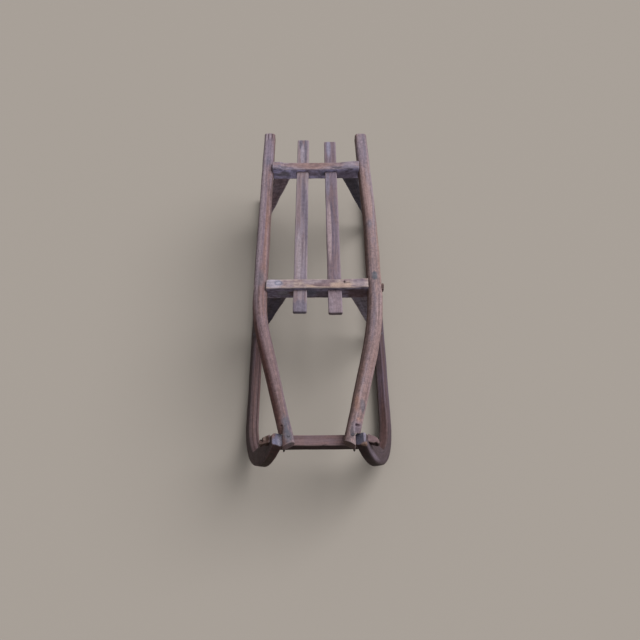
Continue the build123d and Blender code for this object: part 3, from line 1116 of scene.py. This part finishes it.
# Stains and streaks, in the order in which they are laid: place, reach, colour, strength, softness, ragged
POLE_LEFT = Wood(
    "pole_left_wood", PEELED, seed=1.0,
    pale=(138, 115, 118), deep=(103, 83, 86), red=(134, 99, 91), grey=(119, 108, 123),
    # Its dirt and shade colour is nearly as pale as its wood: painted light on its shaded sides
    edge=(146, 125, 128), dirt_and_shade=(134, 112, 118), end=(98, 82, 86),
    red_share=0.4, dirt_share=0.6,
    stains=(
        Stain((-147, 390, 264), (10, 16, 20), BLUISH, 0.6),
        Stain((-150, -54, 264), (12, 26, 20), BLUISH, 0.55),
        Streak((11, 130, 12), (6, 130, 20), ORANGE, 0.25, 0.5, 0.5),
        Streak((0, 160, 17), (4, 150, 20), VIOLET, 0.5, 0.5, 0.3),
        # Painted light: a pale streak on the left side, which lies in shade
        Streak((-11, 170, 10), (8, 330, 20), (160, 143, 153), 0.8, 0.4, 0.4),
        Stain((-143, 440, 264), (12, 90, 20), VIOLET, 0.45),
        # Dark reddish brown of the wood and painted shade on the shaded left side of the front part
        Streak((-16, -310, 6), (15, 210, 20), (80, 50, 44), 0.92, 0.5, 0.3),
        Streak((6, -300, 12), (10, 160, 20), (116, 92, 90), 0.6, 0.5, 0.4),
        Stain((-74, -458, 255), (9, 22, 20), BLUISH, 0.8, 0.6, 1.3),
        Stain((-69, -486, 248), (10, 14, 20), BLUISH, 0.8, 0.6, 1.3),
        # Painted shade on the left of the cheek above the runner's tip, over dark brown wood
        Stain((-88, -466, 240), (10, 12, 14), (96, 70, 66), 0.8, 0.4),
        Stain((-163, -212, 250), (6, 6, 10), DARK, 0.8),
        Streak((-18.2, 150, 3), (3.6, 400, 20), (84, 66, 66), 0.6, 0.4, 0.3),
        Streak((17.5, 150, 3), (3.6, 400, 20), (100, 78, 72), 0.6, 0.4, 0.3),
        Streak((-4.8, 508, 15), (1.3, 28, 20), (80, 60, 66), 0.85, 0.4, 0.4),
        Streak((8, 510, 12), (1.3, 24, 20), (76, 60, 62), 0.85, 0.4, 0.4),
        Streak((-9.2, 500, 13), (2.4, 24, 20), (166, 152, 160), 0.6, 0.4, 0.5),
        Streak((2, 508, 16), (2.4, 16, 20), (168, 150, 156), 0.6, 0.4, 0.5),
    ),
)
POLE_RIGHT = Wood(
    "pole_right_wood", PEELED, seed=2.0,
    pale=(156, 134, 136), deep=(116, 98, 101), red=(147, 114, 106), grey=(135, 125, 140),
    edge=(158, 139, 141), dirt_and_shade=(108, 86, 82), end=(72, 52, 50),
    red_share=0.4, dirt_share=0.7,
    stains=(
        # Painted shade along the shaded left side of the front part
        Streak((-15, -300, 6), (9, 230, 20), (98, 75, 68), 0.8, 0.4, 0.35),
        Streak((10, -290, 12), (8, 160, 20), (124, 100, 98), 0.7, 0.5, 0.4),
        # Painted shade along the shaded left side of the middle
        Streak((-18, 150, 6), (6, 300, 20), (84, 62, 56), 0.8, 0.4, 0.35),
        Stain((148, -49, 264), (7, 14, 20), (86, 90, 100), 0.85, 0.3, 0.6),
        Stain((145, 134, 265), (7, 14, 20), BLUISH, 0.6),
        Stain((145, 134, 265), (3, 6, 20), (150, 136, 146), 0.6),
        Streak((16, 50, 8), (5, 130, 20), (138, 110, 96), 0.5, 0.5, 0.7),
        Stain((138, 440, 264), (16, 80, 20), VIOLET, 0.5),
        Stain((100, -414, 243), (6, 16, 20), BLUISH, 0.6),
        Stain((90, -452, 245), (6, 8, 20), ORANGE, 0.7),
        Stain((77, -470, 250), (8, 16, 20), BLUISH, 0.5, 0.6, 1.3),
        Stain((88, -410, 258), (6, 20, 20), ORANGE, 0.5),
        # Painted light on the cheek's front face, which lies in shade
        Stain((88, -464, 244), (12, 16, 14), (122, 107, 120), 0.7, 0.5),
        # Painted shadow on the nose beside the runner's tip
        Stain((80, -494, 227), (6, 12, 10), (88, 62, 62), 0.8, 0.4, 0.4),
    ),
)
SLAT_LEFT = Wood(
    "slat_left_wood", SAWN, seed=3.0,
    pale=(147, 133, 140), deep=(113, 99, 108), red=(139, 116, 117), grey=(126, 116, 132),
    edge=(153, 139, 146), dirt_and_shade=(84, 70, 72), end=(84, 70, 74),
    stains=(
        Stain((-30, 150, 256), (4.5, 120, 20), (104, 94, 108), 0.8, 0.3, 0.3),
        Stain((-40, 250, 256), (6, 80, 20), (100, 92, 108), 0.7, 0.4, 0.4),
        Stain((-47.5, 472, 256), (5, 24, 20), (94, 88, 102), 0.8, 0.3, 0.4),
        Stain((-33.5, 440, 256), (3.6, 60, 20), (98, 92, 108), 0.8, 0.3, 0.4),
        Stain((-42.5, 424, 256), (6.2, 44, 20), (158, 149, 164), 0.7, 0.35, 0.5),
        Stain((-44, -144, 256), (22, 22, 20), (110, 104, 120), 0.7, 0.3, 0.5),
        Stain((-50, 20, 256), (7, 90, 20), (166, 152, 158), 0.6, 0.4, 0.4),
    ),
)
SLAT_RIGHT = Wood(
    "slat_right_wood", SAWN, seed=4.0,
    pale=(134, 116, 125), deep=(104, 88, 97), red=(128, 103, 106), grey=(121, 109, 125),
    edge=(143, 127, 136), dirt_and_shade=(82, 66, 68), end=(76, 62, 64),
    stains=(
        Stain((41, 120, 256), (4, 120, 20), (98, 86, 100), 0.8, 0.3, 0.25),
        Stain((33.5, 117, 256), (6.2, 108, 20), (158, 138, 142), 0.85, 0.15, 0.25),
        Stain((27.5, 0, 256), (3, 80, 20), (100, 84, 88), 0.6, 0.4, 0.4),
        Stain((44, -130, 256), (22, 40, 20), (142, 128, 138), 0.5, 0.4, 0.5),
        Stain((36.5, 455, 256), (6.4, 40, 20), (142, 137, 158), 0.75, 0.4, 0.5),
        Stain((32, 300, 256), (6, 50, 20), (122, 118, 138), 0.6, 0.4, 0.5),
    ),
)
BEAM_FRONT = Wood(
    "beam_front_wood", HEWN, seed=5.0,
    pale=(179, 159, 151), deep=(134, 114, 118), red=(170, 141, 126), grey=(152, 139, 150),
    edge=(177, 161, 154), dirt_and_shade=(111, 103, 123),
    dirt_share=0.95, edge_share=0.45, lit_clean_side=(0.1, 0.3, 0.95),
    stains=(
        Stain((-112, -74, 270), (22, 20, 8), (160, 152, 168), 0.85, 0.3, 0.8),
        Stain((-101, -73, 268), (11, 8, 6), (104, 106, 124), 0.85, 0.25, 0.4),
        Stain((-101, -73, 268), (7, 5, 6), (160, 154, 170), 0.85, 0.25, 0.4),
        Stain((12, -80, 268), (26, 6, 6), (124, 102, 108), 0.8, 0.25, 0.8),
        Stain((30, -68, 268), (16, 6, 6), (122, 102, 110), 0.7, 0.25, 0.8),
        Stain((100, -74, 270), (16, 20, 6), (134, 122, 136), 0.6, 0.4, 1.0),
        Stain((69, -71, 268), (2.5, 4, 4), DARK, 0.95, 0.3, 0.4),
        Stain((78, -74, 268), (10, 1.2, 4), DARK, 0.7, 0.4, 0.5),
        Stain((-88, -90, 245), (14, 10, 10), (122, 118, 128), 0.75, 0.3, 1.2),
        Stain((-66, -90, 243), (8, 10, 10), (96, 72, 68), 0.7, 0.4, 0.8),
        Stain((-16, -90, 245), (20, 10, 12), (96, 98, 114), 0.7, 0.4, 1.0),
        Stain((104, -90, 242), (30, 10, 20), (86, 63, 63), 0.8, 0.4, 0.8),
        Stain((14, -90, 238), (22, 10, 16), (86, 75, 82), 0.6, 0.5, 0.8),
        Stain((171, -75, 245), (8, 20, 20), (80, 58, 56), 0.9, 0.3, 0.2),
    ),
)
BEAM_REAR = Wood(
    "beam_rear_wood", HEWN, seed=6.0,
    pale=(153, 137, 147), deep=(99, 87, 101), red=(148, 121, 120), grey=(128, 121, 143),
    # Its dirt and shade colour is a pale bluish lilac: painted skylight on its shaded front face
    edge=(153, 142, 153), dirt_and_shade=(164, 158, 194),
    dirt_share=0.95, edge_share=0.45, lit_clean_side=(0.1, 0.3, 0.95),
    stains=(
        Stain((-13, 367, 267), (50, 20, 8), (150, 119, 112), 0.6, 0.5, 0.8),
        Stain((-97, 358, 267), (12, 6, 6), (96, 88, 98), 0.8, 0.3, 1.2),
        Stain((60, 355, 267), (12, 5, 6), (92, 84, 94), 0.8, 0.3, 1.2),
        Stain((98, 367, 270), (20, 20, 8), (150, 140, 154), 0.6, 0.5, 0.8),
        Stain((-98, 348, 250), (18, 10, 8), (126, 120, 130), 0.7, 0.4, 1.2),
        Stain((-20, 348, 250), (30, 10, 10), (112, 94, 100), 0.6, 0.5, 1.0),
        Stain((30, 348, 248), (12, 10, 10), (102, 106, 128), 0.6, 0.4, 1.0),
        Stain((85, 348, 240), (40, 12, 24), (104, 92, 108), 0.75, 0.4, 0.8),
        # Painted shade on the rear face, which faces the light
        Stain((0, 381.5, 236), (300, 7, 26), (124, 110, 114), 0.95, 0.4, 0.2),
    ),
)
CROSSBAR = Wood(
    "crossbar_wood", SAWN, seed=7.0,
    pale=(122, 98, 100), deep=(98, 77, 80), red=(126, 98, 96), grey=(111, 94, 102),
    edge=(137, 117, 115), dirt_and_shade=(34, 13, 14), end=(96, 78, 78),
    dirt_share=0.95, lit_clean_side=(0.0, 0.35, 0.94),
    stains=(
        Stain((-126, -482, 212), (14, 20, 14), (72, 54, 48), 0.9, 0.3, 0.3),
        Stain((-124, -479, 217), (4, 5, 5), (116, 98, 90), 0.8, 0.4, 0.8),
        Stain((-117, -480, 216), (3, 10, 10), (66, 44, 36), 0.9, 0.4, 0.6),
        # Painted shadow under the two tenon ends
        Stain((-132, -480, 214), (4, 5, 10), DARK, 0.9, 0.3, 1.0),
        Stain((130, -491, 208), (7, 4, 10), DARK, 0.9, 0.3, 0.8),
        Stain((120, -476, 216), (16, 12, 6), (112, 92, 96), 0.7, 0.4, 0.6),
    ),
)
RUNNER_LEFT = Wood(
    "runner_left_wood", BENT, seed=8.0,
    pale=(108, 84, 86), deep=(76, 58, 60), red=(98, 70, 66), grey=(94, 80, 90),
    edge=(106, 86, 89), dirt_and_shade=(49, 28, 26), end=(126, 124, 150),
    dirt_share=0.9, edge_share=0.3,
    stains=(
        Streak((0, -30, 33), (12, 100, 10), (106, 84, 82), 0.5, 0.4, 0.3),
        Streak((-6, -20, 33), (1.6, 340, 12), (60, 42, 42), 0.75, 0.5, 0.3),
        Streak((5, -60, 33), (1.6, 300, 12), (62, 45, 46), 0.75, 0.5, 0.3),
        Streak((13, 0, 10), (5, 400, 50), (84, 72, 74), 0.5, 0.4, 0.3),
        Streak((2, -250, 0), (8, 60, 8), (52, 44, 36), 0.6, 0.6, 0.6),
        Stain((-104, -472, 222), (6, 12, 16), (116, 84, 68), 0.7, 0.4, 0.8),
        # Painted light on the tip's top face, where the pole's shadow falls
        Stain((-87, -486, 225.6), (9, 24, 4), (156, 152, 178), 0.7, 0.4, 0.1),
        Stain((-86.5, -486, 225.6), (6, 24, 6), (214, 208, 228), 0.9, 0.5, 0.1),
        Stain((-173.5, 494.5, 16), (60, 6, 60), (84, 72, 74), 1.0, 0.2, 0.1),
    ),
)
RUNNER_RIGHT = Wood(
    "runner_right_wood", BENT, seed=9.0,
    pale=(98, 82, 92), deep=(70, 56, 62), red=(92, 68, 70), grey=(94, 79, 96),
    edge=(95, 79, 81), dirt_and_shade=(35, 18, 17), end=(83, 82, 98),
    dirt_share=0.92, edge_share=0.25,
    stains=(
        Streak((13, -200, 15), (8, 170, 50), (68, 56, 60), 0.85, 0.4, 0.3),
        Streak((1, -60, 33), (10, 130, 10), (88, 62, 58), 0.7, 0.4, 0.3),
        Streak((13, -40, 33), (1.8, 150, 1.8), (124, 106, 106), 0.5, 0.5, 0.6),
        Streak((13, -290, 8), (5, 44, 7), (116, 104, 118), 0.6, 0.6, 1.6),
        Streak((4, -200, 0), (8, 60, 8), (48, 38, 32), 0.6, 0.6, 0.6),
        # Painted shade on the inner side, which faces away from the light
        Streak((-13, 300, 15), (8, 500, 50), (56, 44, 33), 0.8, 0.4, 0.3),
        Stain((103, -476, 224), (3, 20, 12), (158, 150, 168), 0.85, 0.3, 0.4),
        Stain((103, -498, 227), (8, 5, 6), (140, 112, 100), 0.8, 0.5, 0.9),
    ),
)
PLACES = ("front", "rear")
FIRST_LEG_SEED = 10
LEG_DIRT_AND_SHADE_SHARE = 0.4
# Columns: pale, deep, red, grey, edge, dirt and painted shade, for the two front legs and then the two rear
# ones, left first
LEG_TONES = (
    ((88, 81, 94), (58, 54, 64), (91, 74, 75), (84, 79, 98), (112, 101, 112), (65, 58, 66)),
    ((139, 132, 146), (99, 90, 101), (119, 104, 105), (134, 131, 150), (155, 147, 156), (102, 93, 104)),
    ((153, 134, 149), (113, 97, 108), (152, 125, 131), (139, 130, 147), (169, 155, 168), (108, 93, 103)),
    ((93, 89, 103), (66, 63, 73), (85, 77, 85), (92, 89, 104), (109, 103, 117), (67, 64, 74)),
)
PEG_WOOD = Wood(
    "peg_wood", HEWN, seed=14.0,
    pale=(112, 108, 118), deep=(84, 80, 90), red=(100, 88, 90), grey=(104, 104, 118),
    edge=(124, 120, 132), dirt_and_shade=(70, 62, 68), end=(96, 92, 102),
)

# Columns: place, reach, depth, ragged
SPLITS = (
    Dent((-149.5, 508, 262), (2.2, 30, 12), 1.8, 0.3),
    Dent((-136.5, 510, 258), (2.2, 26, 12), 1.8, 0.3),
)
CHIPS = (
    Dent((-140, -474, 218), (12, 10, 16), 6, 1.4),
    Dent((-131, -484, 218), (4, 4, 6), 3, 1.6),
    Dent((-126, -492, 206), (6, 5, 10), 3, 1.2),
    Dent((142, -472, 220), (12, 10, 16), 6, 0.4),
    Dent((128, -492, 210), (5, 5, 10), 3, 0.6),
)

POLE_WEAR = Wear(voxel=0.0016, rounding=3, hewing=0.0007, waves=(20.0, 9.0, 20.0))
SPLIT_POLE_WEAR = replace(POLE_WEAR, dents=SPLITS)
RUNNER_WEAR = Wear(voxel=0.0015, rounding=1, hewing=0.0006)
SLAT_WEAR = Wear(voxel=0.0014, rounding=2, hewing=0.0006)
BEAM_WEAR = Wear(voxel=0.0014, rounding=3, hewing=0.0012, ridges=0.0004, waves=(28.0, 16.0, 28.0))
LEG_WEAR = Wear(voxel=0.0016, rounding=3, hewing=0.0015, ridges=0.0005, waves=(30.0, 20.0, 30.0))
PEG_WEAR = Wear(voxel=0.0006, rounding=3, hewing=0.0001, ridges=0.0001, checks=0.0)
NOSE_WEAR = Wear(voxel=0.0014, rounding=2, dents=CHIPS)

# Columns: centre, radius, from the nose back
LEFT_CHEEK = (
    Round((-78.6, -471.4, 225), 13.4),
    Round((-79.8, -457.5, 231.4), 15.2),
    Round((-84.2, -438, 232.5), 15.4),
)
RIGHT_CHEEK = (
    Round((80, -471.4, 225.6), 14.8),
    Round((81.6, -457.5, 232.6), 16.5),
    Round((85.1, -438, 233.7), 16.7),
)


def sled() -> list[Bar]:
    """List the sled's wooden pieces, each with its finish.

    Returns:
        The pieces in the order in which they are made.
    """
    bars = [
        Runner("runner_left", "runner_wood", RUNNER_LEFT, RUNNER_WEAR, Side.LEFT),
        Runner("runner_right", "runner_wood", RUNNER_RIGHT, RUNNER_WEAR, Side.RIGHT),
        SidePole("side_pole_left", "pole_wood", POLE_LEFT, SPLIT_POLE_WEAR, cheek=LEFT_CHEEK),
        SidePole("side_pole_right", "pole_wood", POLE_RIGHT, POLE_WEAR, cheek=RIGHT_CHEEK),
        Bar("slat_left", "slat_wood", SLAT_LEFT, SLAT_WEAR),
        Bar("slat_right", "slat_wood", SLAT_RIGHT, SLAT_WEAR),
        Beam("front_beam", "beam_wood", BEAM_FRONT, BEAM_WEAR, proud=0.0022),
        Beam("rear_beam", "beam_wood", BEAM_REAR, BEAM_WEAR),
        Crossbar("nose_crossbar", "crossbar_wood", CROSSBAR, NOSE_WEAR),
    ]
    legs = [(place, side.word) for place in PLACES for side in Side]
    for seed, ((place, side), tones) in enumerate(zip(legs, LEG_TONES), FIRST_LEG_SEED):
        wood = Wood(f"leg_{place}_{side}_wood", HEWN, seed, *tones, dirt_share=LEG_DIRT_AND_SHADE_SHARE)
        bars.append(Bar(f"{place}_leg_{side}", "leg_wood", wood, LEG_WEAR))
    for side in Side:
        for place in PLACES:
            for kind in ("foot", "pole"):
                bars.append(Bar(f"{place}_{kind}_peg_{side.word}", "peg_wood", PEG_WOOD, PEG_WEAR))
    return bars


def main() -> None:
    """Build the whole scene and log each piece."""
    logging.basicConfig(level=logging.INFO, format="%(message)s")
    Studio().build()
    for bar in sled():
        bar.build()
    iron = Iron().material()
    for side in Side:
        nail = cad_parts[f"nose_nail_{side.word}"]
        nail.data.materials[0] = iron
        log.info("%s: dressed", nail.name)


if __name__ == "__main__":
    main()
